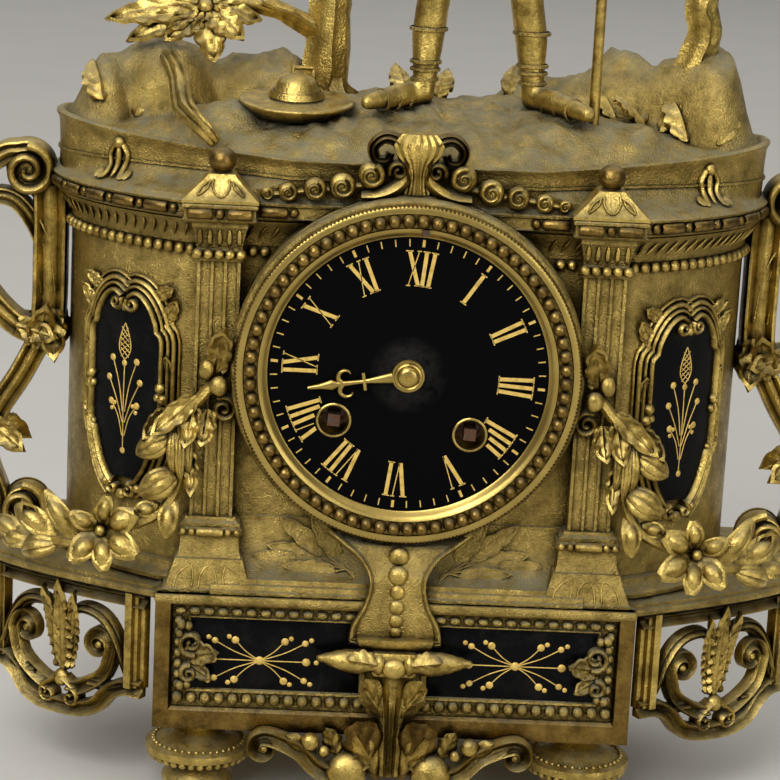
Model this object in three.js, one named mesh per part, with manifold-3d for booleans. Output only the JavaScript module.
// Table clock of gilded cast metal: an oval case on turned feet, a dark dial in a beaded bezel,
// a two-train spring movement with a pendulum, and a standing figure on the rocky top.
// Millimetres, +Z up, the dial faces -Y, the surface that the feet stand on is Z = 0.
import * as THREE from "three";
import { mergeVertices } from "three/addons/utils/BufferGeometryUtils.js";
import Module from "manifold-3d";

const wasm = await Module();
wasm.setup();

// Fits between pieces
const SEAT_GAP = 0.3; // between pieces that rest on or fit in each other
const RUN_GAP = 0.25; // round a shaft that turns in its hole

// Heights of the case, stacked from the surface up
const FOOT_HEIGHT = 31;
const BASE_HEIGHT = 50;
const BASE_PLATE = 6; // thickness of the oval plate that tops the base
const BODY_HEIGHT = 132;
const CORNICE_HEIGHT = 7;
const FRIEZE_HEIGHT = 13;
const RIM_HEIGHT = 12; // upright edge of the ground casting
const DIAL_DROP = 50; // dial centre below the cornice

// Oval plans: front line, where the flank starts, widest point and back line
const BASE_FRONT = -52;
const BASE_SHOULDER = 86;
const BASE_HALF = 166;
const BASE_SIDE = 26;
const BASE_BACK = 56;
const BASE_BACK_HALF = 144;
const BODY_FRONT = -46;
const BODY_SHOULDER = 78;
const BODY_HALF = 124;
const BODY_SIDE = 14;
const BODY_BACK = 45;
const BODY_BACK_HALF = 108;
const CORNICE_OVERHANG = 8;
const GROUND_HALF = 129;
const GROUND_FRONT = -51;
const GROUND_SHOULDER = 44;
const GROUND_SIDE = 4;
const GROUND_BACK = 43;
const GROUND_BACK_HALF = 74;
const FLANK_SLOPE = 0.5; // rise over run where a flank leaves the front line
const CASE_WALL = 5;

// Front block of the base, its inlaid panels and the feet
const BLOCK_HALF = 85;
const BLOCK_FRONT = -64;
const BLOCK_BACK = 52;
const PANEL_INNER = 12; // from the centre line to the window
const PANEL_WIDTH = 60;
const PANEL_HEIGHT = 26;
const PANEL_LOW = 15; // window above the block's underside
const PANEL_LAP = 2; // how far the inlay reaches behind the window's edge
const PANEL_THICK = 2.4;
const FOOT_X = 69;
const FOOT_INSET = 20; // foot centre behind the block's front and before its back
const FOOT_DISC = 19.6;
const FOOT_DISC_LEVEL = 0.68; // top of the disc, as a share of the foot
const FOOT_NECK = 7;
const FOOT_BULB = 13;
const FOOT_PAD = 8.5;
const FOOT_SEAT = 8; // thickness of the solid corner that each foot screws into
const SLOT_HALF = 26; // opening in the base plate under the pendulum
const SLOT_FRONT = -8;
const SLOT_BACK = 12;

// Pierced wings that hang under the flanks of the base
const WING_START = 5; // along the flank from its shoulder
const WING_LENGTH = 72;
const WING_DEPTH = 50;
const WING_STILE = 7;
const WING_STILE_DEPTH = 36;
const WING_THICK = 6;
const WING_INSET = 1;

// Pilasters, their flared bases and the finials above them
const PILASTER_X = 67;
const PILASTER_WIDTH = 15;
const PILASTER_PROUD = 8;
const PLINTH_WIDTH = 30.5;
const PLINTH_PROUD = 15;
const PLINTH_HEIGHT = 26;
const CAPITAL_WIDTH = 19;
const CAPITAL_PROUD = 11;
const CAPITAL_HEIGHT = 10;
const BREAK_WIDTH = 26; // cornice block over each pilaster
const BREAK_PROUD = 16;
const FINIAL_HEIGHT = 12;
const FINIAL_TOP = 8;
const FINIAL_BALL = 5;

// Inlaid side panels on the flanks of the body
const SIDE_PANEL_AT = 25; // along the flank to the panel's centre line
const SIDE_PANEL_WIDTH = 30;
const SIDE_PANEL_HEIGHT = 68;
const SIDE_PANEL_LOW = 34; // above the foot of the body
const SIDE_PANEL_THICK = 1.2;
const SIDE_FRAME_WIDTH = 4.5;
const SIDE_FRAME_THICK = 3;

// Drum, bezel and dial
const DRUM_BORE = 54;
const DRUM_WALL = 8;
const DRUM_DEPTH = 14;
const BEZEL_OUTER = 60;
const BEZEL_INNER = 48.2;
const BEZEL_DEPTH = 6.5;
const DIAL_RADIUS = 49.2;
const DIAL_THICK = 2;
const DIAL_FOOT = 8; // length of the posts that hold the dial off the movement
const DIAL_FOOT_AT = 36;
const MOVEMENT_TURN = 3.9; // degrees that the movement sits turned in the case, clockwise
const HAND_CLOCKWISE = 256.8; // degrees from XII to the hour hand

// Movement plates and pillars
const PLATE_RADIUS = 45;
const PLATE_THICK = 2;
const PLATE_SPACE = 36;
const PILLAR_RADIUS = 2.2;
const PILLAR_AT = 40.5;
const PILLAR_ANGLES = [20, 160, 250, 290];
const PIVOT = 0.8;
const ARBOR = 0.9;

// Winding arbors and barrels, right for the going train and left for the strike
const WIND_X = 23.9;
const WIND_DROP = 18.8;
const WIND_SQUARE = 4.2;
const WIND_ARBOR = 2.2;
const WIND_PROUD = 0.6; // how far the square stands before the dial
const EYELET_BORE = 5.2;
const EYELET_TUBE = 0.35;
const EYELET_FLANGE = 6.2;
const EYELET_PROUD = 0.6;
const BARREL_RADIUS = 14;
const BARREL_DEPTH = 13;

// Wheel counts and tooth modules of the going train and the motion work
const BARREL_TEETH = 45;
const BARREL_MODULE = 0.69;
const SECOND_LEAVES = 6;
const SECOND_TEETH = 36;
const SECOND_MODULE = 0.81;
const CENTRE_LEAVES = 6;
const CENTRE_TEETH = 72;
const CENTRE_MODULE = 0.42;
const THIRD_LEAVES = 6;
const THIRD_TEETH = 84;
const THIRD_MODULE = 0.34;
const THIRD_ANGLE = 120; // where the third wheel stands round the centre
const ESCAPE_LEAVES = 6;
const ESCAPE_TEETH = 33;
const ESCAPE_RADIUS = 8;
const CANNON_LEAVES = 8;
const MINUTE_TEETH = 24;
const MOTION_MODULE = 0.75;
const MINUTE_LEAVES = 8;
const HOUR_TEETH = 32;
const WHEEL_THICK = 1.2;
const LEAF_LENGTH = 2.4; // pinion length along its arbor

// Hands
const HOUR_PIPE = 3.4;
const HOUR_PIPE_WALL = 0.9;
const HOUR_BOSS = 5.9;
const HOUR_LENGTH = 34;
const HAND_THICK = 0.9;
const HAND_LIFT = 1.6; // hand before the dial
const COLLET_RING = 5;
const COLLET_DOME = 3.6;
const COLLET_HEIGHT = 1.7;
const CANNON_RADIUS = 1.9;

// Escapement, pendulum, regulator and bell
const PALLET_RISE = 38.4;
const PENDULUM_SWING = 4; // degrees to each side
const CRUTCH_LENGTH = 34;
const PENDULUM_LENGTH = 104;
const PENDULUM_BACK = 10; // rod behind the back plate
const ROD_RADIUS = 1.2;
const BOB_RADIUS = 12;
const BOB_THICK = 7;
const REGULATOR_RISE = 51;
const REGULATOR_SQUARE = 2.2;
const REGULATOR_PROUD = 4.6; // square before the dial
const BELL_RADIUS = 31;
const BELL_DEPTH = 17;
const BELL_WALL = 1.6;
const BELL_BACK = 21; // bell mouth behind the back plate
const BELL_POST_X = -30;
const BELL_POST_RISE = 14;
const HAMMER_X = 36;
const HAMMER_RISE = 14;
const HAMMER_ARM = 17;
const HAMMER_HEAD = 3;

// Rear ring, cover and the straps that clamp the movement
const REAR_BORE = 50;
const REAR_RING_OUTER = 56;
const REAR_RING_WALL = 3.5;
const REAR_RING_THICK = 3.4;
const COVER_RADIUS = 52;
const COVER_THICK = 1.8;
const HINGE_RADIUS = 2.4;
const HINGE_PIN = 1;
const HINGE_LENGTH = 20;
const KNOB_LENGTH = 8.4;
const KNOB_RADIUS = 3;
const STRAP_WIDTH = 8;
const STRAP_THICK = 1.4;

// Ornaments: crest over the drum, neck and apron on the base, garlands and handles
const CREST_HEIGHT = 27;
const CREST_THICK = 5;
const ROSETTE_RADIUS = 5; // largest of the row beside the crest
const NECK_HALF = 10;
const DROP_THICK = 5;
const BUD_RADIUS = 4;
const APRON_DROP = 36;
const APRON_THICK = 7;
const GARLAND_LEAF = 8;
const GARLAND_PITCH = 1.2; // from leaf to leaf, in leaf sizes
const FLOWER_RADIUS = 12.5;
const HANDLE_THICK = 12;
const HANDLE_Y = 6; // middle of the handle's thickness
const HANDLE_STRAP = 9; // usual width of the scrolled bar
const HANDLE_VOLUTE = 10;

// Rocky ground and figure
const ROCK_HEIGHT = 32; // tallest rock above the rim
const STUMP_HEIGHT = 50;
const STUMP_RADIUS = 8;
const HAT_RADIUS = 20;
const FIGURE_HEIGHT = 178;
const FIGURE_X = 20;
const FIGURE_Y = -6;
const STAFF_RADIUS = 1.9;

// Levels worked out from the heights
const zBase = FOOT_HEIGHT;
const zBody = zBase + BASE_HEIGHT;
const zCornice = zBody + BODY_HEIGHT;
const zFrieze = zCornice + CORNICE_HEIGHT;
const zGround = zFrieze + FRIEZE_HEIGHT;
const zTop = zGround + RIM_HEIGHT;
const zDial = zCornice - DIAL_DROP;
const yDrum = BODY_FRONT - DRUM_DEPTH;
const yDialBack = yDrum + DIAL_THICK;
const yPlate = yDialBack + DIAL_FOOT; // front face of the front plate
const yInside = yPlate + PLATE_THICK;
const yBackPlate = yInside + PLATE_SPACE; // inner face of the back plate
const yBehind = yBackPlate + PLATE_THICK;
const drumOuter = DRUM_BORE + DRUM_WALL;
const handleReach = BASE_HALF - BODY_HALF; // the outermost scroll stands over the end of the base

// Finishes
const finish = (color, roughness, metalness) =>
  new THREE.MeshStandardMaterial({ color, roughness, metalness });
const GILT = finish(0xb8923e, 0.42, 1);
const GILT_WORN = finish(0x8d7235, 0.55, 1);
const BRASS = finish(0xc9a24a, 0.35, 1);
const STEEL = finish(0x6d5c52, 0.5, 1);
const SLATE = finish(0x0c0c0d, 0.35, 0);
const BELL_METAL = finish(0xb9a878, 0.3, 1);

// Solids: every piece passes through these, so each one is closed and faces outwards.
function solid(geometry) {
  const bare = geometry.index ? geometry.toNonIndexed() : geometry.clone();
  bare.deleteAttribute("normal");
  bare.deleteAttribute("uv");
  const merged = mergeVertices(bare, 1e-4);
  const index = merged.index.array;
  const kept = [];
  for (let i = 0; i < index.length; i += 3) {
    const [a, b, c] = [index[i], index[i + 1], index[i + 2]];
    if (a !== b && b !== c && c !== a) kept.push(a, b, c);
  }
  const vertProperties = new Float32Array(merged.attributes.position.array);
  const closed = (triVerts) => new wasm.Manifold(new wasm.Mesh({ numProp: 3, vertProperties, triVerts }));
  const made = closed(new Uint32Array(kept));
  if (made.volume() > 0) return made;
  for (let i = 0; i < kept.length; i += 3) [kept[i], kept[i + 1]] = [kept[i + 1], kept[i]];
  return closed(new Uint32Array(kept));
}

function join(...pieces) {
  return pieces.map((p) => (p.isBufferGeometry ? solid(p) : p)).reduce((a, b) => a.add(b));
}

function cut(piece, ...tools) {
  const start = piece.isBufferGeometry ? solid(piece) : piece;
  return tools.map((t) => (t.isBufferGeometry ? solid(t) : t)).reduce((a, b) => a.subtract(b), start);
}

function geometryOf(piece) {
  const { vertProperties, triVerts, numProp } = (piece.isBufferGeometry ? solid(piece) : piece).getMesh();
  const position = new Float32Array((vertProperties.length / numProp) * 3);
  for (let i = 0; i < position.length / 3; i++)
    for (let k = 0; k < 3; k++) position[i * 3 + k] = vertProperties[i * numProp + k];
  const geometry = new THREE.BufferGeometry();
  geometry.setAttribute("position", new THREE.BufferAttribute(position, 3));
  geometry.setIndex(new THREE.BufferAttribute(new Uint32Array(triVerts), 1));
  geometry.computeVertexNormals();
  return geometry;
}

function node(name, piece, material, parent) {
  const mesh = new THREE.Mesh(geometryOf(piece), material);
  mesh.name = name;
  parent.add(mesh);
  return mesh;
}

// Basic forms
const degrees = THREE.MathUtils.degToRad;
const box = (x0, x1, y0, y1, z0, z1) =>
  new THREE.BoxGeometry(x1 - x0, y1 - y0, z1 - z0).translate((x0 + x1) / 2, (y0 + y1) / 2, (z0 + z1) / 2);
const barY = (radius, y0, y1, segments = 12, x = 0, z = 0) =>
  new THREE.CylinderGeometry(radius, radius, y1 - y0, segments).translate(x, (y0 + y1) / 2, z);
const barZ = (radius, z0, z1, segments = 12, x = 0, y = 0) =>
  barY(radius, z0, z1, segments).rotateX(Math.PI / 2).translate(x, y, 0);
const turnedY = (profile, segments) =>
  new THREE.LatheGeometry(profile.map(([r, y]) => new THREE.Vector2(r, y)), segments);
const turnedZ = (profile, segments) => turnedY(profile, segments).rotateX(Math.PI / 2);
const ringY = (inner, outer, y0, y1, segments) =>
  turnedY([[inner, y0], [outer, y0], [outer, y1], [inner, y1], [inner, y0]], segments);
const blob = (x, y, z, rx, ry, rz, turn = 0, wide = 8, high = 5) =>
  new THREE.SphereGeometry(1, wide, high).scale(rx, ry, rz).rotateY(turn).translate(x, y, z);
const polar = (radius, angle) => [radius * Math.cos(angle), radius * Math.sin(angle)];
const largest = (piece) => piece.decompose().sort((a, b) => b.volume() - a.volume())[0];
const mirrored = (piece) => (piece.isBufferGeometry ? solid(piece) : piece).mirror([1, 0, 0]);
const sided = (piece, side) => (side > 0 ? piece : mirrored(piece));

// A plan outline extruded upwards, and a front-view outline extruded from one depth to another.
function upright(shape, z0, z1, curveSegments = 5) {
  const made = new THREE.ExtrudeGeometry(shape, { depth: z1 - z0, bevelEnabled: false, curveSegments });
  return made.translate(0, 0, z0);
}

function facing(shape, y0, y1, curveSegments = 5) {
  const made = new THREE.ExtrudeGeometry(shape, { depth: y1 - y0, bevelEnabled: false, curveSegments });
  return made.rotateX(Math.PI / 2).translate(0, y1, 0);
}

function outline(points) {
  const corners = points.map(([x, y]) => new THREE.Vector2(x, y));
  return new THREE.Shape(THREE.ShapeUtils.isClockWise(corners) ? corners.reverse() : corners);
}

// A strap of changing width along a smooth line in the front view.
function strap(points, widths, steps = 10) {
  const line = new THREE.CatmullRomCurve3(points.map(([x, z]) => new THREE.Vector3(x, z, 0)));
  const [left, right] = [[], []];
  for (let i = 0; i <= steps; i++) {
    const t = i / steps;
    const p = line.getPoint(t);
    const d = line.getTangent(t);
    const at = t * (widths.length - 1);
    const low = Math.min(Math.floor(at), widths.length - 2);
    const half = THREE.MathUtils.lerp(widths[low], widths[low + 1], at - low) / 2;
    left.push([p.x - d.y * half, p.y + d.x * half]);
    right.unshift([p.x + d.y * half, p.y - d.x * half]);
  }
  return outline([...left, ...right]);
}

// A round limb that tapers from one point to another, with round ends.
function limb(from, to, r0, r1, segments = 6) {
  const [a, b] = [new THREE.Vector3(...from), new THREE.Vector3(...to)];
  const length = a.distanceTo(b);
  const profile = [[0, -r0 * 0.8], [r0, 0], [r1, length], [0, length + r1 * 0.8]];
  const along = b.clone().sub(a).normalize();
  const turn = new THREE.Quaternion().setFromUnitVectors(new THREE.Vector3(0, 1, 0), along);
  return turnedY(profile, segments).applyQuaternion(turn).translate(...from);
}

// Four corners at each of two levels: a block whose width and depth change with height.
function flared(x, lowWidth, highWidth, yBack, lowFront, highFront, z0, z1) {
  const made = box(-0.5, 0.5, 0, 1, z0, z1);
  const p = made.attributes.position;
  for (let i = 0; i < p.count; i++) {
    const high = p.getZ(i) > (z0 + z1) / 2;
    p.setX(i, x + p.getX(i) * (high ? highWidth : lowWidth));
    p.setY(i, THREE.MathUtils.lerp(high ? highFront : lowFront, yBack, p.getY(i)));
  }
  return made;
}

// Oval plans. The flank is the curve from the front line's end to the widest point.
function plan(front, shoulder, half, side, back, backHalf) {
  return { front, shoulder, half, side, back, backHalf };
}

function grown(p, by) {
  const corner = by * FLANK_SLOPE;
  return plan(p.front - by, p.shoulder + corner, p.half + by, p.side, p.back + by, p.backHalf + corner);
}

function flank(p) {
  const reach = (p.half - p.shoulder) / 2;
  return new THREE.CubicBezierCurve(
    new THREE.Vector2(p.shoulder, p.front),
    new THREE.Vector2(p.shoulder + reach, p.front + reach * FLANK_SLOPE),
    new THREE.Vector2(p.half, p.side + (p.front - p.side) * 0.5),
    new THREE.Vector2(p.half, p.side),
  );
}

function ovalShape(p) {
  const f = flank(p);
  const s = new THREE.Shape();
  s.moveTo(-p.shoulder, p.front);
  s.lineTo(p.shoulder, p.front);
  s.bezierCurveTo(f.v1.x, f.v1.y, f.v2.x, f.v2.y, p.half, p.side);
  const drop = (p.back - p.side) * 0.6;
  const run = (p.half - p.backHalf) * 0.5;
  s.bezierCurveTo(p.half, p.side + drop, p.backHalf + run, p.back, p.backHalf, p.back);
  s.lineTo(-p.backHalf, p.back);
  s.bezierCurveTo(-p.backHalf - run, p.back, -p.half, p.side + drop, -p.half, p.side);
  s.bezierCurveTo(-f.v2.x, f.v2.y, -f.v1.x, f.v1.y, -p.shoulder, p.front);
  return s;
}

// Wraps a flat piece, drawn in the front view, round a flank: X runs along it and -Y points out of it.
function wrapped(geometry, p) {
  const curve = flank(p);
  const length = curve.getLength();
  const g = geometry.clone();
  const at = g.attributes.position;
  for (let i = 0; i < at.count; i++) {
    const t = THREE.MathUtils.clamp(at.getX(i) / length, 0, 1);
    const point = curve.getPointAt(t);
    const along = curve.getTangentAt(t);
    const out = -at.getY(i);
    at.setXYZ(i, point.x + along.y * out, point.y - along.x * out, at.getZ(i));
  }
  return g;
}

const BASE = plan(BASE_FRONT, BASE_SHOULDER, BASE_HALF, BASE_SIDE, BASE_BACK, BASE_BACK_HALF);
const BODY = plan(BODY_FRONT, BODY_SHOULDER, BODY_HALF, BODY_SIDE, BODY_BACK, BODY_BACK_HALF);
const GROUND = plan(GROUND_FRONT, GROUND_SHOULDER, GROUND_HALF, GROUND_SIDE, GROUND_BACK, GROUND_BACK_HALF);

// Wheels: pointed teeth that reach past the pitch circle by ADDENDUM modules and fall DEDENDUM below it.
const ADDENDUM = 0.7;
const DEDENDUM = 1.25;

function toothed(teeth, module, y0, y1, bore, phase = 0) {
  const tip = (module * teeth) / 2 + ADDENDUM * module;
  const root = (module * teeth) / 2 - DEDENDUM * module;
  const pitch = (2 * Math.PI) / teeth;
  const points = [];
  for (let i = 0; i < teeth; i++) {
    const middle = (i + phase) * pitch;
    points.push([tip * Math.cos(middle), tip * Math.sin(middle)]);
    points.push([root * Math.cos(middle + pitch / 2), root * Math.sin(middle + pitch / 2)]);
  }
  const shape = outline(points);
  if (bore) shape.holes.push(new THREE.Path().absarc(0, 0, bore, 0, 2 * Math.PI, true));
  return facing(shape, y0, y1, 5);
}

const pitchRadius = (teeth, module) => (teeth * module) / 2;

const clock = new THREE.Group();

// Base: oval plate on a hollow block, with two windows for the dark inlays.
function buildBase() {
  const zPlate = zBody - BASE_PLATE;
  const plate = upright(ovalShape(BASE), zPlate, zBody);
  const block = box(-BLOCK_HALF, BLOCK_HALF, BLOCK_FRONT, BLOCK_BACK, zBase, zBody);
  const inner = BLOCK_HALF - CASE_WALL;
  const hollow = box(-inner, inner, BLOCK_FRONT + CASE_WALL, BLOCK_BACK - CASE_WALL, zBase - 1, zPlate);
  const slot = box(-SLOT_HALF, SLOT_HALF, SLOT_FRONT, SLOT_BACK, zPlate - 1, zBody + 1);
  const zLow = zBase + PANEL_LOW;
  const yPocket = BLOCK_FRONT + CASE_WALL - PANEL_THICK - SEAT_GAP;
  const tools = [hollow, slot];
  for (const side of [-1, 1]) {
    const [near, far] = [side * PANEL_INNER, side * (PANEL_INNER + PANEL_WIDTH)];
    const [x0, x1] = side > 0 ? [near, far] : [far, near];
    const yOut = BLOCK_FRONT - 1;
    const yIn = BLOCK_FRONT + CASE_WALL + 1;
    const lap = PANEL_LAP + SEAT_GAP;
    tools.push(box(x0, x1, yOut, yIn, zLow, zLow + PANEL_HEIGHT));
    tools.push(box(x0 - lap, x1 + lap, yPocket, yIn, zLow - lap, zLow + PANEL_HEIGHT + lap));
    const inlay = box(
      x0 - PANEL_LAP, x1 + PANEL_LAP, yPocket + SEAT_GAP, yPocket + SEAT_GAP + PANEL_THICK,
      zLow - PANEL_LAP, zLow + PANEL_HEIGHT + PANEL_LAP,
    );
    node(side > 0 ? "base_panel_right" : "base_panel_left", inlay, SLATE, clock);
  }
  const seats = [];
  const wide = FOOT_DISC * 0.75;
  for (const y of [BLOCK_FRONT + FOOT_INSET, BLOCK_BACK - FOOT_INSET])
    for (const x of [-FOOT_X, FOOT_X])
      seats.push(box(x - wide, x + wide, y - wide - 1, y + wide + 1, zBase, zBase + FOOT_SEAT));
  const within = box(-BLOCK_HALF, BLOCK_HALF, BLOCK_FRONT, BLOCK_BACK, zBase, zBody);
  const corners = join(...seats).intersect(solid(within));
  node("base_casting", join(cut(join(plate, block), ...tools), corners), GILT_WORN, clock);
}

// Turned foot: pad, bulb, neck, broad beaded disc and a collar that meets the block.
function buildFeet() {
  const top = FOOT_HEIGHT - SEAT_GAP;
  const disc = FOOT_HEIGHT * FOOT_DISC_LEVEL;
  const profile = [
    [0, 0], [FOOT_PAD, 0], [FOOT_BULB, disc * 0.3], [FOOT_NECK, disc * 0.62], [FOOT_DISC * 0.9, disc * 0.79],
    [FOOT_DISC, disc * 0.9], [FOOT_DISC * 0.75, disc], [FOOT_NECK * 1.3, disc * 1.14],
    [FOOT_DISC * 0.63, top * 0.94], [FOOT_DISC * 0.63, top], [0, top],
  ];
  for (const [where, y] of [["front", BLOCK_FRONT + FOOT_INSET], ["rear", BLOCK_BACK - FOOT_INSET]])
    for (const [hand, side] of [["left", -1], ["right", 1]])
      node(`foot_${where}_${hand}`, turnedZ(profile, 14), GILT, clock).position.set(side * FOOT_X, y, 0);
}

// Wing: frame with a drooping scrolled foot and a palmette between two openings.
function buildWings() {
  const middle = WING_LENGTH / 2;
  const edge = [];
  const steps = 8;
  for (let i = 0; i <= steps; i++) edge.push([(WING_LENGTH * i) / steps, 0]);
  const knee = WING_STILE * 1.6;
  const belly = WING_DEPTH * 0.9;
  const droop = new THREE.SplineCurve([
    [WING_LENGTH, -WING_STILE_DEPTH], [WING_LENGTH - knee, -WING_STILE_DEPTH], [middle * 1.4, -belly],
    [middle, -WING_DEPTH], [middle * 0.6, -belly], [knee, -WING_STILE_DEPTH], [0, -WING_STILE_DEPTH],
  ].map(([x, z]) => new THREE.Vector2(x, z)));
  const shape = outline([...edge, ...droop.getPoints(16).map((p) => [p.x, p.y])]);
  for (const side of [-1, 1]) {
    const far = middle + side * (middle - WING_STILE);
    const across = (share) => middle + side * share * middle;
    const opening = new THREE.SplineCurve([
      [far, -WING_STILE], [far, -WING_STILE_DEPTH * 0.78], [across(0.44), -WING_DEPTH * 0.74],
      [across(0.17), -WING_DEPTH * 0.78], [across(0.21), -WING_DEPTH * 0.5], [across(0.3), -WING_STILE],
      [far, -WING_STILE],
    ].map(([x, z]) => new THREE.Vector2(x, z)));
    shape.holes.push(new THREE.Path(opening.getPoints(14).slice(0, -1)));
  }
  const flat = facing(shape, 0, WING_THICK);
  const hung = grown(BASE, -WING_INSET);
  const wing = wrapped(flat.translate(WING_START, 0, zBody - BASE_PLATE - SEAT_GAP), hung);
  for (const [hand, side] of [["left", -1], ["right", 1]])
    node(`base_wing_${hand}`, sided(wing, side), GILT, clock);
}

// Body: an oval tube with round openings for the movement at the front and the cover at the back.
function buildBody() {
  const z0 = zBody + SEAT_GAP;
  const shell = cut(
    upright(ovalShape(BODY), z0, zCornice),
    upright(ovalShape(grown(BODY, -CASE_WALL)), z0 - 1, zCornice + 1),
    barY(DRUM_BORE, BODY_FRONT - 1, BODY_FRONT + CASE_WALL + 1, 32, 0, zDial),
    barY(REAR_BORE, BODY_BACK - CASE_WALL - 1, BODY_BACK + 1, 32, 0, zDial),
  );
  node("body_casting", shell, GILT_WORN, clock);
  const drum = ringY(DRUM_BORE, drumOuter, yDrum, BODY_FRONT - SEAT_GAP, 32);
  node("drum_ring", drum.translate(0, 0, zDial), GILT_WORN, clock);
}

// Pilaster: flared base, shaft and flared capital in one casting.
function buildPilasters() {
  const yBack = BODY_FRONT - SEAT_GAP;
  const z0 = zBody + SEAT_GAP;
  const zShaft = z0 + PLINTH_HEIGHT;
  const zCapital = zCornice - CAPITAL_HEIGHT;
  const shaft = BODY_FRONT - PILASTER_PROUD;
  const capital = BODY_FRONT - CAPITAL_PROUD;
  const half = PILASTER_WIDTH / 2;
  const plinth = BODY_FRONT - PLINTH_PROUD;
  const pilaster = join(
    flared(PILASTER_X, PLINTH_WIDTH, PILASTER_WIDTH * 1.2, yBack, plinth, shaft - 1.5, z0, zShaft),
    box(PILASTER_X - half, PILASTER_X + half, shaft, yBack, zShaft - 1, zCapital + 1),
    flared(PILASTER_X, PILASTER_WIDTH * 1.13, CAPITAL_WIDTH, yBack, shaft - 1, capital, zCapital, zCornice),
  );
  const clear = barY(drumOuter + SEAT_GAP, yDrum - 20, BODY_FRONT, 32, 0, zDial);
  const fitted = cut(pilaster, clear);
  for (const [hand, side] of [["left", -1], ["right", 1]])
    node(`pilaster_${hand}`, sided(fitted, side), GILT, clock);
}

// Cornice: a hollow moulding with a break over each pilaster, and the plain frieze that rises from it.
function buildCornice() {
  const z0 = zCornice + SEAT_GAP;
  const inside = grown(BODY, -CASE_WALL);
  const breaks = [-1, 1].map((side) => {
    const x = side * PILASTER_X;
    return box(x - BREAK_WIDTH / 2, x + BREAK_WIDTH / 2, BODY_FRONT - BREAK_PROUD, BODY_FRONT, z0, zFrieze);
  });
  const moulding = join(upright(ovalShape(grown(BODY, CORNICE_OVERHANG)), z0, zFrieze), ...breaks);
  const frieze = upright(ovalShape(BODY), zFrieze - 1, zGround - SEAT_GAP);
  const cornice = cut(
    join(moulding, frieze),
    upright(ovalShape(inside), z0 - 1, zGround + 1),
    barY(drumOuter + SEAT_GAP, yDrum - BREAK_PROUD, BODY_FRONT, 32, 0, zDial),
    barY(DRUM_BORE, BODY_FRONT - 1, BODY_FRONT + CASE_WALL + 1, 32, 0, zDial),
    barY(REAR_RING_OUTER + 2 * HINGE_RADIUS, BODY_BACK, BODY_BACK + 2 * CORNICE_OVERHANG, 24, 0, zDial),
  );
  node("cornice", cornice, GILT, clock);
}

// Finial: a low pyramid that carries a ball, on the cornice break.
function buildFinials() {
  const z0 = zFrieze + SEAT_GAP;
  const z1 = z0 + FINIAL_HEIGHT;
  const back = BODY_FRONT - SEAT_GAP;
  const front = BODY_FRONT - BREAK_PROUD + 1;
  const middle = (back + front) / 2;
  const tip = front + FINIAL_TOP / 2;
  const pyramid = flared(PILASTER_X, BREAK_WIDTH - 2, FINIAL_TOP, back, front, tip, z0, z1);
  const r = FINIAL_BALL;
  const ball = blob(PILASTER_X, middle - 1, z1 + r * 0.6, r, r, r, 0, 8, 6);
  const finial = join(pyramid, ball);
  for (const [hand, side] of [["left", -1], ["right", 1]])
    node(`finial_${hand}`, sided(finial, side), GILT, clock);
}

// Crest: a shell between two scrolls above the drum, with rosettes that shrink towards the finials.
function buildCrest() {
  const zFoot = zDial + drumOuter + SEAT_GAP;
  const y1 = GROUND_FRONT - SEAT_GAP;
  const y0 = y1 - CREST_THICK;
  const at = (x, z) => [x * CREST_HEIGHT, zFoot + z * CREST_HEIGHT];
  const shell = new THREE.Shape();
  shell.moveTo(...at(-0.26, 0));
  shell.lineTo(...at(0.26, 0));
  shell.quadraticCurveTo(...at(0.19, 0.3), ...at(0.33, 0.74));
  shell.quadraticCurveTo(...at(0, 1), ...at(-0.33, 0.74));
  shell.quadraticCurveTo(...at(-0.19, 0.3), ...at(-0.26, 0));
  const pieces = [facing(shell, y0 - CREST_THICK * 0.6, y1, 5)];
  for (const side of [-1, 1]) {
    const scroll = [[0.22, 0.11], [0.52, 0.11], [0.7, 0.33], [0.6, 0.6], [0.33, 0.67]];
    const widths = [0.22, 0.18, 0.22, 0.26, 0.18].map((w) => w * CREST_HEIGHT);
    pieces.push(facing(strap(scroll.map(([x, z]) => at(side * x, z)), widths, 6), y0, y1));
    let x = CREST_HEIGHT * 0.7;
    const low = zFoot + CREST_HEIGHT * 0.055;
    for (let i = 0; i < 3; i++) {
      const r = ROSETTE_RADIUS * (1 - i * 0.16);
      pieces.push(blob(side * x, y1 - r * 0.9, low + r * 0.62, r, r * 0.9, r, 0, 6, 4));
      x += r * 1.75;
    }
    const start = side * NECK_HALF * 0.4;
    const rail = outline([[start, low], [side * x, low], [side * x, low + 2], [start, low + 2.5]]);
    pieces.push(facing(rail, y1 - 2, BODY_FRONT - SEAT_GAP));
  }
  node("crest", join(...pieces), GILT, clock);
}

// Inlaid side panels with an arched head, and the moulded frames round them.
function archShape(width, height) {
  const s = new THREE.Shape();
  const half = width / 2;
  const spring = height - half * 0.9;
  s.moveTo(-half, half * 0.6);
  s.quadraticCurveTo(-half * 0.7, 0, 0, 0);
  s.quadraticCurveTo(half * 0.7, 0, half, half * 0.6);
  s.lineTo(half, spring);
  s.quadraticCurveTo(half * 0.8, height, 0, height);
  s.quadraticCurveTo(-half * 0.8, height, -half, spring);
  return s;
}

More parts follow.
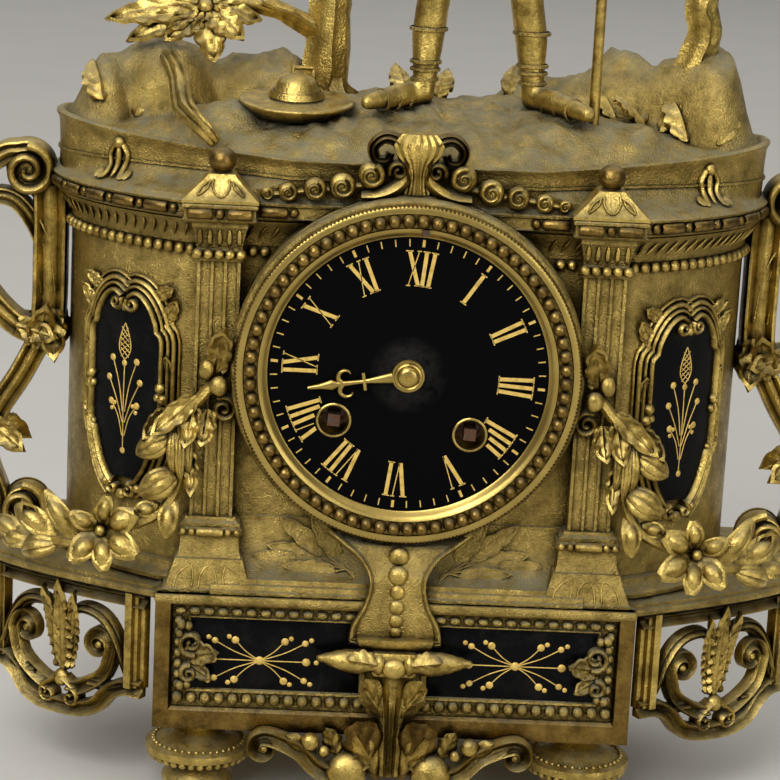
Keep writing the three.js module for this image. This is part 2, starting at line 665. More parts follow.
// The part of a shell round the body, between two distances from its wall, that lies behind an outline.
function onFlank(shape, zLow, near, far) {
  const curve = flank(BODY);
  const t = SIDE_PANEL_AT / curve.getLength();
  const point = curve.getPointAt(t);
  const along = curve.getTangentAt(t);
  const prism = facing(shape, -SIDE_PANEL_WIDTH, SIDE_PANEL_WIDTH).rotateZ(Math.atan2(along.y, along.x));
  const shell = cut(
    upright(ovalShape(grown(BODY, far)), zBody, zCornice),
    upright(ovalShape(grown(BODY, near)), zBody - 1, zCornice + 1),
  );
  return shell.intersect(solid(prism.translate(point.x, point.y, zLow)));
}

function buildSidePanels() {
  const z0 = zBody + SIDE_PANEL_LOW;
  const edge = SIDE_FRAME_WIDTH;
  const arch = (by) => archShape(SIDE_PANEL_WIDTH + 2 * by, SIDE_PANEL_HEIGHT + 2 * by);
  const panel = onFlank(arch(0), z0, SEAT_GAP, SEAT_GAP + SIDE_PANEL_THICK);
  const frame = cut(
    onFlank(arch(edge), z0 - edge, SEAT_GAP, SEAT_GAP + SIDE_FRAME_THICK),
    onFlank(arch(SEAT_GAP), z0 - SEAT_GAP, -1, SIDE_FRAME_THICK + 2),
  );
  for (const [hand, side] of [["left", -1], ["right", 1]]) {
    node(`side_panel_${hand}`, sided(panel, side), SLATE, clock);
    node(`side_frame_${hand}`, sided(frame, side), GILT, clock);
  }
}

// Garland: overlapping leaves that fall from beside the drum to a six-petalled flower over the base.
function buildGarlands() {
  const front = BODY_FRONT - PILASTER_PROUD;
  const u = GARLAND_LEAF;
  const flower = [PILASTER_X + u * 4.6, BODY_FRONT - u * 0.75, zBody + FLOWER_RADIUS * 1.44];
  const fall = new THREE.CatmullRomCurve3([
    [PILASTER_X, front - u * 0.2, zDial - u * 0.75],
    [PILASTER_X + u * 1.75, front - u * 0.25, zDial - u * 3.4],
    [PILASTER_X + u * 3.5, front - u * 0.25, zBody + u * 4.5], flower,
    [PILASTER_X + u * 6.75, BODY_FRONT + u, zBody + u * 1.5],
    [PILASTER_X + u * 8.5, BODY_FRONT + u * 3, zBody + u],
  ].map((p) => new THREE.Vector3(...p)));
  const leaves = [];
  const count = Math.ceil(fall.getLength() / (u * GARLAND_PITCH));
  for (let i = 0; i < count; i++) {
    const t = i / (count - 1);
    const p = fall.getPoint(t);
    const size = u * (1 + 0.31 * Math.sin(Math.PI * Math.min(1, t * 1.4)));
    const [deep, turn] = t < 0.6 ? [u * 0.56, -0.5] : [u * 0.88, -1.3];
    leaves.push(blob(p.x, p.y, p.z, size * 0.8, deep, size * 1.2, turn, 6, 3));
  }
  const petals = [];
  for (let i = 0; i < 12; i++) {
    const [x, z] = polar(i % 2 ? FLOWER_RADIUS * 0.52 : FLOWER_RADIUS, (i * Math.PI) / 6);
    petals.push([flower[0] + x, flower[2] + z]);
  }
  leaves.push(facing(outline(petals), flower[1] - u * 0.75, flower[1] - u * 0.12));
  leaves.push(blob(PILASTER_X - 1, front - 1, zDial + 2, u * 0.88, u * 0.5, u * 1.38, 0, 6, 4));
  const shaft = PILASTER_WIDTH / 2 + SEAT_GAP;
  const plinth = BODY_FRONT - PLINTH_PROUD - SEAT_GAP;
  const skirt = [PLINTH_WIDTH + 1, PILASTER_WIDTH * 1.27, BODY_FRONT, plinth, front - 2];
  const clear = [
    flared(PILASTER_X, ...skirt, zBody, zBody + PLINTH_HEIGHT + 1),
    box(PILASTER_X - shaft, PILASTER_X + shaft, front - SEAT_GAP, BODY_FRONT, zBody, zCornice),
    barY(drumOuter + SEAT_GAP, yDrum - 20, BODY_FRONT, 32, 0, zDial),
    upright(ovalShape(grown(BODY, SIDE_FRAME_THICK + 3 * SEAT_GAP)), zBody, zCornice),
    upright(ovalShape(grown(BASE, 20)), zBody - 20, zBody + SEAT_GAP),
    box(BODY_HALF, BASE_HALF, HANDLE_Y - HANDLE_THICK, BASE_BACK, zBody, zCornice),
  ];
  const garland = largest(cut(join(...leaves), ...clear));
  for (const [hand, side] of [["left", -1], ["right", 1]])
    node(`garland_${hand}`, sided(garland, side), GILT, clock);
}

// Handle: an open scroll beside the body, from the cornice down to the base.
function buildHandles() {
  const x0 = BODY_HALF + SEAT_GAP;
  const y0 = HANDLE_Y - HANDLE_THICK / 2;
  const y1 = HANDLE_Y + HANDLE_THICK / 2;
  const rise = zCornice - zBody;
  const at = (out, up) => [x0 + out * handleReach, zBody + SEAT_GAP + up * rise];
  const rail = [[0.12, 0.97], [0.13, 0.83], [0.13, 0.7], [0.18, 0.55]];
  const bow = [[0.3, 1.0], [0.68, 1.06], [0.92, 0.94], [0.9, 0.8], [0.62, 0.66], [0.22, 0.58]];
  const tail = [[0.2, 0.6], [0.4, 0.46], [0.64, 0.33], [0.68, 0.2], [0.42, 0.1]];
  const bar = (points, widths, steps) =>
    facing(strap(points.map(([out, up]) => at(out, up)), widths.map((w) => w * HANDLE_STRAP), steps), y0, y1);
  const volute = (out, up, radius) => barY(radius, y0 - 1.5, y1 + 1.5, 12, ...at(out, up));
  const [leafX, leafZ] = at(0.17, 0.58);
  const leaf = HANDLE_VOLUTE * 0.7;
  const pieces = [
    bar(rail, [1, 1.1, 1.1, 0.9], 5),
    bar(bow, [0.9, 0.9, 0.9, 0.9, 1, 1.1], 9),
    bar(tail, [1, 1, 1.1, 1.1, 1.1], 7),
    volute(0.36, 1.04, HANDLE_VOLUTE * 0.9),
    volute(0.36, HANDLE_VOLUTE / rise, HANDLE_VOLUTE),
    blob(leafX, HANDLE_Y, leafZ, leaf, HANDLE_THICK / 2 + 2, leaf * 1.3, 0.5, 10, 6),
  ];
  const clear = [
    upright(ovalShape(grown(BODY, CORNICE_OVERHANG + SEAT_GAP)), zCornice, zFrieze + SEAT_GAP),
    upright(ovalShape(grown(BODY, SEAT_GAP)), zBody, zGround + RIM_HEIGHT),
    upright(ovalShape(grown(GROUND, SEAT_GAP)), zGround - SEAT_GAP, zTop),
  ];
  const handle = cut(join(...pieces), ...clear);
  for (const [hand, side] of [["left", -1], ["right", 1]])
    node(`handle_${hand}`, sided(handle, side), GILT, clock);
}

// Neck below the drum that spreads over the front of the base, with a pair of buds across it.
function buildCentreDrop() {
  const zDrum = zDial - drumOuter - SEAT_GAP;
  const z0 = zBody + SEAT_GAP;
  const u = NECK_HALF;
  const neck = new THREE.Shape();
  neck.moveTo(-u * 1.8, zDrum + u * 0.6);
  neck.quadraticCurveTo(-u, zDrum - u * 0.4, -u, z0);
  neck.lineTo(u, z0);
  neck.quadraticCurveTo(u, zDrum - u * 0.4, u * 1.8, zDrum + u * 0.6);
  const yFace = BLOCK_FRONT - SEAT_GAP;
  const upper = cut(
    facing(neck, yFace - DROP_THICK * 0.75, BODY_FRONT - SEAT_GAP, 5),
    barY(drumOuter + SEAT_GAP, yDrum - BEZEL_DEPTH - 20, BODY_FRONT, 32, 0, zDial),
  );
  const edge = [[1, -0.1], [1.2, 0.8], [2, 1.1], [1, 1.6]].map(([x, z]) => [u * x, z0 - u * z]);
  const fan = outline([...edge, ...edge.map(([x, z]) => [-x, z]).reverse()]);
  const lower = facing(fan, yFace - DROP_THICK, yFace, 4);
  const yBud = yFace - BUD_RADIUS * 1.12;
  const zBud = z0 - u * 2;
  const bud = (side) =>
    limb([side * u * 0.6, yBud, zBud], [side * u * 2.3, yBud, zBud], BUD_RADIUS, BUD_RADIUS * 0.4);
  const stem = box(-u * 0.9, u * 0.9, yFace - DROP_THICK * 1.2, yFace, z0 - u * 2.6, z0 - u * 1.5);
  node("centre_drop", join(upper, lower, stem, bud(-1), bud(1)), GILT, clock);
}

// Apron: an acanthus leaf under the middle of the base with a scroll to each side.
function buildApron() {
  const yFace = BLOCK_FRONT - SEAT_GAP;
  const u = APRON_DROP;
  const zHigh = zBody - NECK_HALF * 2.7;
  const edge = [[0.25, 0], [0.36, 0.17], [0.44, 0.44], [0.3, 0.72]].map(([x, z]) => [u * x, zHigh - u * z]);
  const leaf = outline([...edge, [0, zHigh - u], ...edge.map(([x, z]) => [-x, z]).reverse()]);
  const pieces = [facing(leaf, yFace - APRON_THICK, yFace)];
  const zScroll = zBase - SEAT_GAP;
  const scroll = [[0.22, 0.17], [0.56, 0.33], [0.83, 0.17], [1.17, 0.1], [1.33, 0.17]];
  const widths = [0.39, 0.25, 0.22, 0.19, 0.19].map((w) => w * u);
  for (const side of [-1, 1]) {
    const line = scroll.map(([x, z]) => [side * u * x, zScroll - u * z]);
    pieces.push(facing(strap(line, widths, 8), yFace - APRON_THICK, yFace + 2));
  }
  const under = box(-BLOCK_HALF, BLOCK_HALF, yFace, BLOCK_BACK, zScroll, zBody);
  node("base_apron", cut(join(...pieces), under), GILT, clock);
}

// Ground: an oval tray of rock with mounds, a stump, a broad hat laid down and a stub of a branch.
function buildGround() {
  const tray = upright(ovalShape(GROUND), zGround, zTop);
  const [across, deep, high] = [GROUND_HALF, GROUND_BACK, ROCK_HEIGHT];
  const rooted = RIM_HEIGHT / 2;
  const mound = (x, y, rx, ry, rise) =>
    blob(x * across, y * deep, zTop - rooted, rx * across, ry * deep, rise * high + rooted, 0, 9, 5);
  const mounds = [
    mound(-0.85, 0.14, 0.14, 0.5, 0.62), mound(-0.69, 0.32, 0.2, 0.5, 0.76),
    mound(-0.45, 0.46, 0.24, 0.46, 0.56), mound(0.86, 0.18, 0.115, 0.42, 1), mound(0.69, 0.37, 0.2, 0.5, 0.6),
    mound(0.45, 0.46, 0.25, 0.46, 0.5), mound(0.08, 0.23, 0.5, 0.8, 0.22),
  ];
  const point = (x, y, z) => [x * across, y * deep, zTop + z];
  const branch = STUMP_RADIUS * 0.5;
  const tall = STUMP_HEIGHT;
  const stump = [
    limb(point(-0.26, 0.33, 0), point(-0.25, 0.28, tall), STUMP_RADIUS, STUMP_RADIUS * 0.75),
    limb(point(-0.25, 0.3, tall * 0.5), point(-0.45, 0.14, tall * 0.76), branch, branch * 0.6),
    limb(point(-0.25, 0.28, tall * 0.9), point(-0.16, 0.19, tall * 1.1), branch, branch * 0.7),
    limb(point(0.8, 0.14, high * 0.7), point(0.78, 0.1, high * 1.6), branch, branch * 0.8),
  ];
  const r = HAT_RADIUS;
  const hat = turnedZ(
    [[0, -1], [r, -1], [r, r * 0.32], [r * 0.4, r * 0.45], [r * 0.25, r * 0.7], [0, r * 0.72]], 12,
  );
  const keep = upright(ovalShape(GROUND), zGround, zTop + tall * 2);
  const underside = upright(ovalShape(grown(GROUND, -CASE_WALL)), zGround - 1, zTop - CASE_WALL * 0.6);
  const rock = join(tray, ...mounds, ...stump, hat.translate(...point(-0.335, -0.24, 0)));
  node("ground_casting", cut(rock.intersect(solid(keep)), underside), GILT_WORN, clock);
}

// Figure: a standing traveller in a belted tunic and a short cloak, one hand on a staff.
function buildFigure() {
  const h = FIGURE_HEIGHT;
  const zSole = zTop + RIM_HEIGHT * 0.42;
  const at = (x, y, z) => [FIGURE_X + x * h, FIGURE_Y + y * h, zSole + z * h];
  const part = (from, to, r0, r1) => limb(at(...from), at(...to), r0 * h, r1 * h);
  const robe = (profile, wide, deep, y) =>
    turnedZ(profile.map(([r, z]) => [r * h, z * h]), 10).scale(wide, deep, 1).translate(...at(0, y, 0));
  const tunic = [
    [0, 0.36], [0.125, 0.36], [0.1, 0.5], [0.078, 0.58], [0.105, 0.72], [0.1, 0.79], [0.04, 0.83], [0, 0.83],
  ];
  const cloak = [[0, 0.3], [0.1, 0.3], [0.085, 0.6], [0.1, 0.8], [0, 0.82]];
  const hand = at(0.239, -0.079, 0.735);
  const pieces = [
    part([-0.1, -0.02, 0.05], [-0.085, 0, 0.25], 0.026, 0.038),
    part([-0.085, 0, 0.25], [-0.05, 0, 0.48], 0.04, 0.052),
    part([0.12, 0, 0.05], [0.09, -0.01, 0.26], 0.026, 0.038),
    part([0.09, -0.01, 0.26], [0.05, 0, 0.48], 0.04, 0.052),
    part([-0.1, -0.02, 0.022], [-0.2, -0.08, 0.016], 0.024, 0.016),
    part([0.12, 0, 0.022], [0.215, -0.125, 0.016], 0.024, 0.016),
    robe(tunic, 1, 0.72, 0),
    part([0, 0, 0.8], [0, -0.006, 0.9], 0.032, 0.03),
    blob(...at(0, -0.008, 0.932), 0.047 * h, 0.056 * h, 0.068 * h, 0, 8, 6),
    part([-0.1, 0, 0.785], [-0.16, 0.02, 0.63], 0.034, 0.027),
    part([-0.16, 0.02, 0.63], [-0.085, -0.06, 0.52], 0.027, 0.02),
    part([0.1, 0, 0.785], [0.185, -0.015, 0.65], 0.034, 0.027),
    part([0.185, -0.015, 0.65], [0.236, -0.066, 0.72], 0.027, 0.02),
    blob(...hand, 0.026 * h, 0.026 * h, 0.03 * h, 0, 8, 6),
    robe(cloak, 1.25, 0.42, 0.07),
  ];
  const grip = barZ(STAFF_RADIUS + SEAT_GAP, zGround, zSole + h * 1.3, 10, hand[0], hand[1]);
  const ground = solid(clock.getObjectByName("ground_casting").geometry);
  node("figure", cut(join(...pieces), grip, ground), GILT, clock);
  const staff = barZ(STAFF_RADIUS, zTop, zSole + h * 1.06, 10, hand[0], hand[1]);
  node("figure_staff", largest(cut(staff, ground)), GILT, clock);
}

// Movement: everything on the dial's axis lives in one group, turned a little in the case.
const movement = new THREE.Group();
movement.position.set(0, 0, zDial);
movement.rotation.y = degrees(MOVEMENT_TURN);
clock.add(movement);

// Places of the arbors seen from the front, from the dial centre
const barrelAt = (side) => [side * WIND_X, -WIND_DROP];
const windReach = Math.hypot(WIND_X, WIND_DROP);
const secondFromBarrel = pitchRadius(BARREL_TEETH + SECOND_LEAVES, BARREL_MODULE);
const secondFromCentre = pitchRadius(SECOND_TEETH + CENTRE_LEAVES, SECOND_MODULE);
const secondTurn = Math.acos(
  (secondFromCentre ** 2 + windReach ** 2 - secondFromBarrel ** 2) / (2 * secondFromCentre * windReach),
);
const secondAngle = Math.atan2(-WIND_DROP, WIND_X) + secondTurn;
const secondAt = polar(secondFromCentre, secondAngle);
const thirdAt = polar(pitchRadius(CENTRE_TEETH + THIRD_LEAVES, CENTRE_MODULE), degrees(THIRD_ANGLE));
const escapeReach = pitchRadius(THIRD_TEETH + ESCAPE_LEAVES, THIRD_MODULE);
const escapeAt = [0, thirdAt[1] + Math.sqrt(escapeReach ** 2 - thirdAt[0] ** 2)];
const minuteAt = [0, pitchRadius(CANNON_LEAVES + MINUTE_TEETH, MOTION_MODULE)];
const hourModule = (2 * minuteAt[1]) / (MINUTE_LEAVES + HOUR_TEETH);

// Layers of the train behind the front plate
const layer = (index) => yInside + 16 + 4 * index;

// A phase, in teeth, that puts a gap of the wheel at `to` where the tooth of the wheel at `from` points.
function meshPhase(from, to, fromTeeth, fromPhase, toTeeth) {
  const angle = Math.atan2(to[1] - from[1], to[0] - from[0]);
  const driver = (angle / (2 * Math.PI)) * fromTeeth - fromPhase;
  const facingBack = ((angle + Math.PI) / (2 * Math.PI)) * toTeeth;
  return facingBack + (driver - Math.round(driver)) + 0.5;
}

function arborNode(name, at, pieces, material) {
  const place = new THREE.Group();
  place.name = `${name}_axis`;
  place.position.set(at[0], 0, at[1]);
  movement.add(place);
  node(name, join(...pieces), material, place);
}

function buildPlates() {
  const hole = (at, radius, sides) => barY(radius + RUN_GAP, yPlate - 1, yBehind + 1, sides, ...at);
  const holes = [hole([0, 0], ARBOR, 8)];
  for (const at of [secondAt, thirdAt, escapeAt, [0, PALLET_RISE]]) holes.push(hole(at, PIVOT, 8));
  for (const side of [-1, 1]) holes.push(hole(barrelAt(side), WIND_ARBOR, 12));
  const stud = barY(ARBOR, yDialBack + 1, yPlate + 0.5, 10, ...minuteAt);
  const front = barY(PLATE_RADIUS, yPlate, yInside, 28);
  node("front_plate", join(cut(front, ...holes), stud), BRASS, movement);
  const pillars = PILLAR_ANGLES.map((a) => {
    const [x, z] = polar(PILLAR_AT, degrees(a));
    return barY(PILLAR_RADIUS, yInside + SEAT_GAP, yBackPlate + 1, 6, x, z);
  });
  const back = barY(PLATE_RADIUS, yBackPlate, yBehind, 28);
  node("back_plate", cut(join(back, ...pillars), ...holes), BRASS, movement);
}

function buildDial() {
  const feet = [30, 150, 270].map((a) => {
    const [x, z] = polar(DIAL_FOOT_AT, degrees(a));
    return barY(1.6, yDialBack - 0.5, yPlate - SEAT_GAP, 6, x, z);
  });
  const eyeletHole = EYELET_BORE + EYELET_TUBE + SEAT_GAP;
  const holes = [-1, 1].map((side) => barY(eyeletHole, yDrum - 1, yDialBack + 1, 16, ...barrelAt(side)));
  const pipeHole = barY(HOUR_PIPE + RUN_GAP, yDrum - 1, yDialBack + 1, 14);
  const disc = cut(barY(DIAL_RADIUS, yDrum, yDialBack, 36), pipeHole, ...holes);
  node("dial", join(disc, ...feet), SLATE, movement);
  for (const [hand, side] of [["left", -1], ["right", 1]]) {
    const outer = EYELET_BORE + EYELET_TUBE;
    const y0 = yDrum - SEAT_GAP;
    const eyelet = turnedY([
      [EYELET_BORE, y0 - EYELET_PROUD], [EYELET_FLANGE, y0 - EYELET_PROUD], [EYELET_FLANGE, y0], [outer, y0],
      [outer, yDialBack], [EYELET_BORE, yDialBack], [EYELET_BORE, y0 - EYELET_PROUD],
    ], 14);
    const [x, z] = barrelAt(side);
    node(`winding_eyelet_${hand}`, eyelet.translate(x, 0, z), BRASS, movement);
  }
}

// Bezel: a dished ring with a raised edge, pierced at the top for the regulator's square.
function buildBezel() {
  const y1 = yDrum - SEAT_GAP;
  const y0 = y1 - BEZEL_DEPTH;
  const ring = turnedY([
    [BEZEL_INNER, y1], [BEZEL_INNER, y1 - 1], [BEZEL_INNER + 3, y1 - 3.2], [BEZEL_OUTER - 8, y1 - 4],
    [BEZEL_OUTER - 4, y0], [BEZEL_OUTER, y0 + 0.6], [BEZEL_OUTER, y1], [BEZEL_INNER, y1],
  ], 36);
  const hole = barY((REGULATOR_SQUARE * Math.SQRT2) / 2 + RUN_GAP, y0 - 1, y1 + 1, 12, 0, REGULATOR_RISE);
  node("bezel", cut(ring, hole), BRASS, movement);
}

// Hour hand: a slim blade with a crossbar, a pair of crescents and a leaf tip, on its pipe and wheel.
function buildHourHand() {
  const y1 = yDrum - HAND_LIFT;
  const y0 = y1 - HAND_THICK;
  const u = HOUR_LENGTH / 34;
  const half = [
    [5, 2.6], [10, 1.6], [15.2, 0.9], [15.2, 2.8], [16.4, 2.8], [16.4, 0.8], [20.8, 0.7], [21.8, 2.6],
    [19.6, 5.2], [21, 6], [23.4, 4], [23.4, 1], [26, 1], [27.4, 2.4], [31, 0.8], [34, 0.4],
  ].map(([r, w]) => [r * u, w * u]);
  const blade = outline([...half, ...half.map(([r, w]) => [r, -w]).reverse()]);
  const bore = CANNON_RADIUS + RUN_GAP;
  const yWheel = yDialBack + 1.2;
  const phase = meshPhase(minuteAt, [0, 0], MINUTE_LEAVES, 0, HOUR_TEETH);
  const turned = solid(facing(blade, y0, y1)).rotate([0, HAND_CLOCKWISE - 90, 0]);
  arborNode("hour_hand", [0, 0], [
    turned,
    cut(barY(HOUR_BOSS, y0, y1, 24), barY(bore, y0 - 1, y1 + 1, 12)),
    ringY(bore, HOUR_PIPE, y0 + 0.4, yWheel + WHEEL_THICK, 12),
    toothed(HOUR_TEETH, hourModule, yWheel, yWheel + WHEEL_THICK, bore, phase),
  ], BRASS);
  const yCannon = yPlate - SEAT_GAP - LEAF_LENGTH;
  arborNode("cannon_pinion", [0, 0], [
    ringY(ARBOR + RUN_GAP, CANNON_RADIUS, y0 - COLLET_HEIGHT, yPlate - SEAT_GAP, 12),
    toothed(CANNON_LEAVES, MOTION_MODULE, yCannon, yPlate - SEAT_GAP, ARBOR + RUN_GAP, 0),
  ], STEEL);
  const yCollet = y0 - SEAT_GAP;
  const hold = CANNON_RADIUS + RUN_GAP;
  arborNode("minute_collet", [0, 0], [
    turnedY([
      [hold, yCollet], [COLLET_RING, yCollet], [COLLET_RING, yCollet - 0.7], [COLLET_DOME, yCollet - 0.8],
      [COLLET_DOME * 0.8, yCollet - COLLET_HEIGHT], [hold, yCollet - COLLET_HEIGHT - 0.4], [hold, yCollet],
    ], 14),
  ], BRASS);
  const yMinute = yCannon + 0.5;
  const minutePhase = meshPhase([0, 0], minuteAt, CANNON_LEAVES, 0, MINUTE_TEETH);
  arborNode("minute_wheel", minuteAt, [
    toothed(MINUTE_TEETH, MOTION_MODULE, yMinute, yMinute + WHEEL_THICK, ARBOR + RUN_GAP, minutePhase),
    toothed(MINUTE_LEAVES, hourModule, yWheel - 0.3, yMinute + 0.1, ARBOR + RUN_GAP, 0),
  ], BRASS);
}

// Going train: barrel, second wheel, centre wheel, third wheel and escape wheel on their arbors.
function buildTrain() {
  const arbor = (y0, y1, radius = ARBOR) => barY(radius, y0, y1, 8);
  const pivots = () => barY(PIVOT, yPlate + 0.2, yBehind - 0.2, 6);
  const leaves = (count, module, index, phase) =>
    toothed(count, module, layer(index) - 0.6, layer(index) - 0.6 + LEAF_LENGTH, 0, phase);
  const wheel = (count, module, index, phase) =>
    toothed(count, module, layer(index), layer(index) + WHEEL_THICK, 0, phase);
  const going = barrelAt(1);
  const secondPhase = meshPhase(going, secondAt, BARREL_TEETH, 0, SECOND_LEAVES);
  const centrePhase = meshPhase(secondAt, [0, 0], SECOND_TEETH, 0, CENTRE_LEAVES);
  const thirdPhase = meshPhase([0, 0], thirdAt, CENTRE_TEETH, 0, THIRD_LEAVES);
  const escapePhase = meshPhase(thirdAt, escapeAt, THIRD_TEETH, 0, ESCAPE_LEAVES);
  arborNode("second_wheel", secondAt, [
    pivots(), leaves(SECOND_LEAVES, BARREL_MODULE, 0, secondPhase), wheel(SECOND_TEETH, SECOND_MODULE, 1, 0),
  ], BRASS);
  arborNode("centre_wheel", [0, 0], [
    arbor(yDrum - HAND_LIFT - HAND_THICK - COLLET_HEIGHT - 1.4, yBehind - 0.2),
    leaves(CENTRE_LEAVES, SECOND_MODULE, 1, centrePhase), wheel(CENTRE_TEETH, CENTRE_MODULE, 2, 0),
  ], STEEL);
  arborNode("third_wheel", thirdAt, [
    pivots(), leaves(THIRD_LEAVES, CENTRE_MODULE, 2, thirdPhase), wheel(THIRD_TEETH, THIRD_MODULE, 3, 0),
  ], BRASS);
  const escapeModule = (2 * ESCAPE_RADIUS) / (ESCAPE_TEETH + 2 * ADDENDUM);
  arborNode("escape_wheel", escapeAt, [
    pivots(), leaves(ESCAPE_LEAVES, THIRD_MODULE, 3, escapePhase), wheel(ESCAPE_TEETH, escapeModule, 4, 0),
  ], BRASS);
}

// Barrels with their toothed rims, and the winding arbors that run through them.
function buildBarrels() {
  for (const [hand, side, use] of [["left", -1, "strike"], ["right", 1, "going"]]) {
    const at = barrelAt(side);
    const bore = WIND_ARBOR + RUN_GAP;
    const yDrumFront = layer(0) - BARREL_DEPTH;
    arborNode(`${use}_barrel`, at, [
      ringY(bore, BARREL_RADIUS, yDrumFront, layer(0) + 0.5, 18),
      toothed(BARREL_TEETH, BARREL_MODULE, layer(0), layer(0) + WHEEL_THICK, bore, 0),
    ], BRASS);
    const half = WIND_SQUARE / 2;
    arborNode(`winding_arbor_${hand}`, at, [
      box(-half, half, yDrum - WIND_PROUD, yPlate - 3, -half, half),
      barY(half * Math.SQRT2 + 1.6, yPlate - 2.2, yPlate - SEAT_GAP, 16),
      barY(WIND_ARBOR, yPlate - 3.5, yBehind - 0.2, 10),
    ], STEEL);
  }
}

// Pallets that straddle the escape wheel, with the crutch that hangs behind the back plate.
function buildEscapement() {
  const y0 = layer(4);
  const drop = PALLET_RISE - escapeAt[1];
  const turn = degrees(MOVEMENT_TURN);
  const reach = ESCAPE_RADIUS + SEAT_GAP + drop * Math.sin(degrees(PENDULUM_SWING));
  const clear = barY(reach, y0 - 1, y0 + WHEEL_THICK + 1, 20, -drop * Math.sin(turn), -drop * Math.cos(turn));
  const wide = ESCAPE_RADIUS;
  const arm = [[wide * 0.25, 2], [wide * 1.25, -5], [wide * 1.42, -drop + 2], [wide, -drop + 3]];
  const arms = outline([...arm, ...arm.map(([x, z]) => [-x, z]).reverse()]);
  const anchor = cut(facing(arms, y0, y0 + WHEEL_THICK), clear);
  const yRod = yBehind + PENDULUM_BACK;
  const slot = ROD_RADIUS + SEAT_GAP;
  const fork = [-1, 1].map((side) => {
    const [x0, x1] = side > 0 ? [slot, slot + 1.4] : [-slot - 1.4, -slot];
    return box(x0, x1, yBehind + 3, yRod + 2, -CRUTCH_LENGTH - 1, -CRUTCH_LENGTH + 1);
  });
  const crutch = join(
    barY(PIVOT, yPlate + 0.2, yBehind + 5, 8),
    box(-1.1, 1.1, yBehind + 3, yBehind + 5, -CRUTCH_LENGTH, 1.2),
    box(-slot - 1.4, slot + 1.4, yBehind + 3, yBehind + 5, -CRUTCH_LENGTH - 1, -CRUTCH_LENGTH + 1),
    ...fork,
  );
  const swing = new THREE.Group();
  swing.name = "pallet_axis";
  swing.position.set(PALLET_RISE * Math.sin(turn), 0, zDial + PALLET_RISE * Math.cos(turn));
  clock.add(swing);
  node("pallet_anchor", join(anchor, crutch), STEEL, swing);

  const zBob = -PENDULUM_LENGTH;
  const rod = join(
    box(-2, 2, yRod - 0.5, yRod + 0.5, -9, 3),
    barY(2.4, yRod - 1.6, yRod + 1.6, 10, 0, -10),
    barZ(ROD_RADIUS, zBob - BOB_RADIUS - 4, -9, 8, 0, yRod),
    barZ(2.6, zBob - BOB_RADIUS - 3.6, zBob - BOB_RADIUS - SEAT_GAP, 10, 0, yRod),
  );
  node("pendulum_rod", rod, STEEL, swing);
  const [half, shoulder] = [BOB_THICK / 2, BOB_RADIUS * 0.7];
  const lens = [[0, -half], [shoulder, -half * 0.72], [BOB_RADIUS, 0], [shoulder, half * 0.72], [0, half]];
  const bob = turnedY(lens, 20).translate(0, yRod, zBob);
  const bore = barZ(ROD_RADIUS + SEAT_GAP, zBob - BOB_RADIUS - 1, zBob + BOB_RADIUS + 1, 10, 0, yRod);
  node("pendulum_bob", cut(bob, bore), BRASS, swing);

  const top = PALLET_RISE + 3 + SEAT_GAP;
  const cock = join(
    box(-6, 6, yBehind + SEAT_GAP, yRod + 3, top, top + 5),
    box(-9, 9, yBehind + SEAT_GAP, yBehind + 2.5, top - 7, top + 5),
    box(-3, 3, yBehind + 3, yRod + 3, top + 4, REGULATOR_RISE + 2.6),
  );
  const fitted = cut(
    cock,
    barY(PIVOT + RUN_GAP + 0.4, yBehind - 1, yBehind + 8, 10, 0, PALLET_RISE),
    barY(ARBOR + RUN_GAP, yBehind, yRod + 8, 10, 0, REGULATOR_RISE),
  );
  node("back_cock", fitted, BRASS, movement);
  const square = REGULATOR_SQUARE / 2;
  arborNode("regulator_arbor", [0, REGULATOR_RISE], [
    box(-square, square, yDrum - REGULATOR_PROUD, yDrum + 4, -square, square),
    barY(ARBOR, yDrum + 3, yRod + 2.4, 8),
  ], STEEL);
}

// Bell on its bracket behind the plates, and the hammer beside it.
function buildBell() {
  const mouth = yBehind + BELL_BACK;
  const crown = mouth + BELL_DEPTH;
  const outer = [];
  const inner = [];
  const steps = 4;
  for (let i = 0; i <= steps; i++) {
    const a = (i / steps) * (Math.PI / 2);
    outer.push([BELL_RADIUS * Math.cos(a), mouth + BELL_DEPTH * Math.sin(a)]);
    inner.unshift([(BELL_RADIUS - BELL_WALL) * Math.cos(a), mouth + (BELL_DEPTH - BELL_WALL) * Math.sin(a)]);
  }
  const stem = 1.6;
  const bell = cut(turnedY([...outer, ...inner, outer[0]], 18), barY(stem + SEAT_GAP, mouth, crown + 2, 8));
  node("bell", bell, BELL_METAL, movement);
  const yArm = yBehind + PENDULUM_BACK + 5;
  const post = [BELL_POST_X, BELL_POST_RISE];
  const bracket = join(
    barY(2.6, yBehind + SEAT_GAP, yArm + 3, 8, ...post),
    limb([post[0], yArm + 1.5, post[1]], [0, yArm + 1.5, 0], 1.9, 1.9),
    barY(stem, yArm, crown + 3, 8),
    barY(3, crown + SEAT_GAP, crown + 2.2, 10),
  );
  node("bell_bracket", bracket, STEEL, movement);
  const head = mouth + 3;
  arborNode("hammer", [HAMMER_X, HAMMER_RISE], [
    barY(1, yBehind + SEAT_GAP, head + 2, 8),
    limb([0, head, 0], [0, head, -HAMMER_ARM], 1.2, 1.2),
    blob(0, head, -HAMMER_ARM - 1, HAMMER_HEAD, HAMMER_HEAD, HAMMER_HEAD + 1, 0, 8, 6),
  ], STEEL);
}

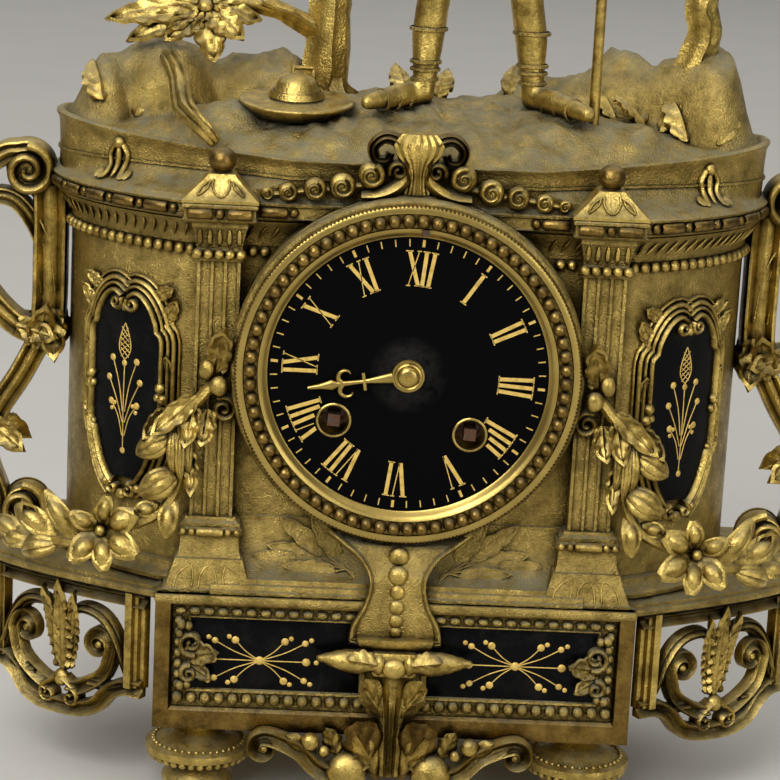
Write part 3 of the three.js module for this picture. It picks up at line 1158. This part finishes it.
// Rear ring in the back of the case, its hinged cover, and the straps that pull the movement to it.
function buildRear() {
  const yFace = BODY_BACK + SEAT_GAP;
  const yLip = yFace + REAR_RING_THICK;
  const tube = REAR_BORE - SEAT_GAP;
  const bore = tube - REAR_RING_WALL;
  const yTube = BODY_BACK - CASE_WALL + 1;
  const ring = turnedY([
    [bore, yTube], [tube, yTube], [tube, yFace], [REAR_RING_OUTER, yFace], [REAR_RING_OUTER, yLip],
    [bore, yLip], [bore, yTube],
  ], 26);
  const hingeX = REAR_RING_OUTER - 1;
  const hingeY = yLip + HINGE_RADIUS + SEAT_GAP;
  const third = HINGE_LENGTH / 3;
  const knuckleHalf = third / 2 - SEAT_GAP;
  const lug = (z0, z1) => join(
    barZ(HINGE_RADIUS, z0, z1, 10, hingeX, hingeY),
    box(hingeX - 1.6, hingeX + 1.6, yLip - 0.5, hingeY, z0, z1),
  );
  const end = HINGE_LENGTH / 2;
  const pin = barZ(HINGE_PIN, -end + 0.5, end - 0.5, 8, hingeX, hingeY);
  const hung = join(ring, lug(-end, -third / 2 - SEAT_GAP), lug(third / 2 + SEAT_GAP, end), pin);
  const rear = new THREE.Group();
  rear.position.set(0, 0, zDial);
  clock.add(rear);
  node("rear_ring", hung, BRASS, rear);
  const yCover = yLip + SEAT_GAP;
  const lugSpace = box(hingeX - 3.4, hingeX + 8, yCover - 1, yCover + 12, -end - 1, end + 1);
  const disc = cut(barY(COVER_RADIUS, yCover, yCover + COVER_THICK, 32), lugSpace);
  const knuckle = cut(
    join(
      barZ(HINGE_RADIUS, -knuckleHalf, knuckleHalf, 10, hingeX, hingeY),
      box(hingeX - 4.4, hingeX - 0.5, hingeY - 0.9, hingeY + HINGE_RADIUS - 0.6, -knuckleHalf, knuckleHalf),
    ),
    barZ(HINGE_PIN + RUN_GAP, -third, third, 10, hingeX, hingeY),
  );
  const knobProfile = [[0, 0.12], [0.53, 0.12], [0.53, 0.48], [1, 0.65], [0.67, 0.95], [0, 1]];
  const knob = turnedY(knobProfile.map(([r, y]) => [r * KNOB_RADIUS, yCover + y * KNOB_LENGTH]), 12);
  const hinge = new THREE.Group();
  hinge.name = "rear_cover_axis";
  hinge.position.set(hingeX, hingeY, 0);
  rear.add(hinge);
  const pull = knob.translate(-COVER_RADIUS + 2 * KNOB_RADIUS, 0, 0);
  const door = join(disc, knuckle, pull).translate([-hingeX, -hingeY, 0]);
  node("rear_cover", door, BRASS, hinge);
  const r0 = PLATE_RADIUS + 1;
  for (const [hand, side] of [["left", -1], ["right", 1]]) {
    const wide = STRAP_WIDTH / 2;
    const bar = box(r0, r0 + STRAP_THICK, yDialBack + SEAT_GAP, yTube - SEAT_GAP, -wide, wide);
    node(`movement_strap_${hand}`, sided(bar, side), BRASS, movement);
  }
}

buildBase();
buildFeet();
buildWings();
buildBody();
buildPilasters();
buildCornice();
buildFinials();
buildCrest();
buildSidePanels();
buildGarlands();
buildHandles();
buildCentreDrop();
buildApron();
buildGround();
buildFigure();
buildPlates();
buildDial();
buildBezel();
buildHourHand();
buildTrain();
buildBarrels();
buildEscapement();
buildBell();
buildRear();

// The origin lies under the middle of the clock's depth.
const reach = new THREE.Box3().setFromObject(clock);
clock.position.y = -(reach.min.y + reach.max.y) / 2;

export default clock;
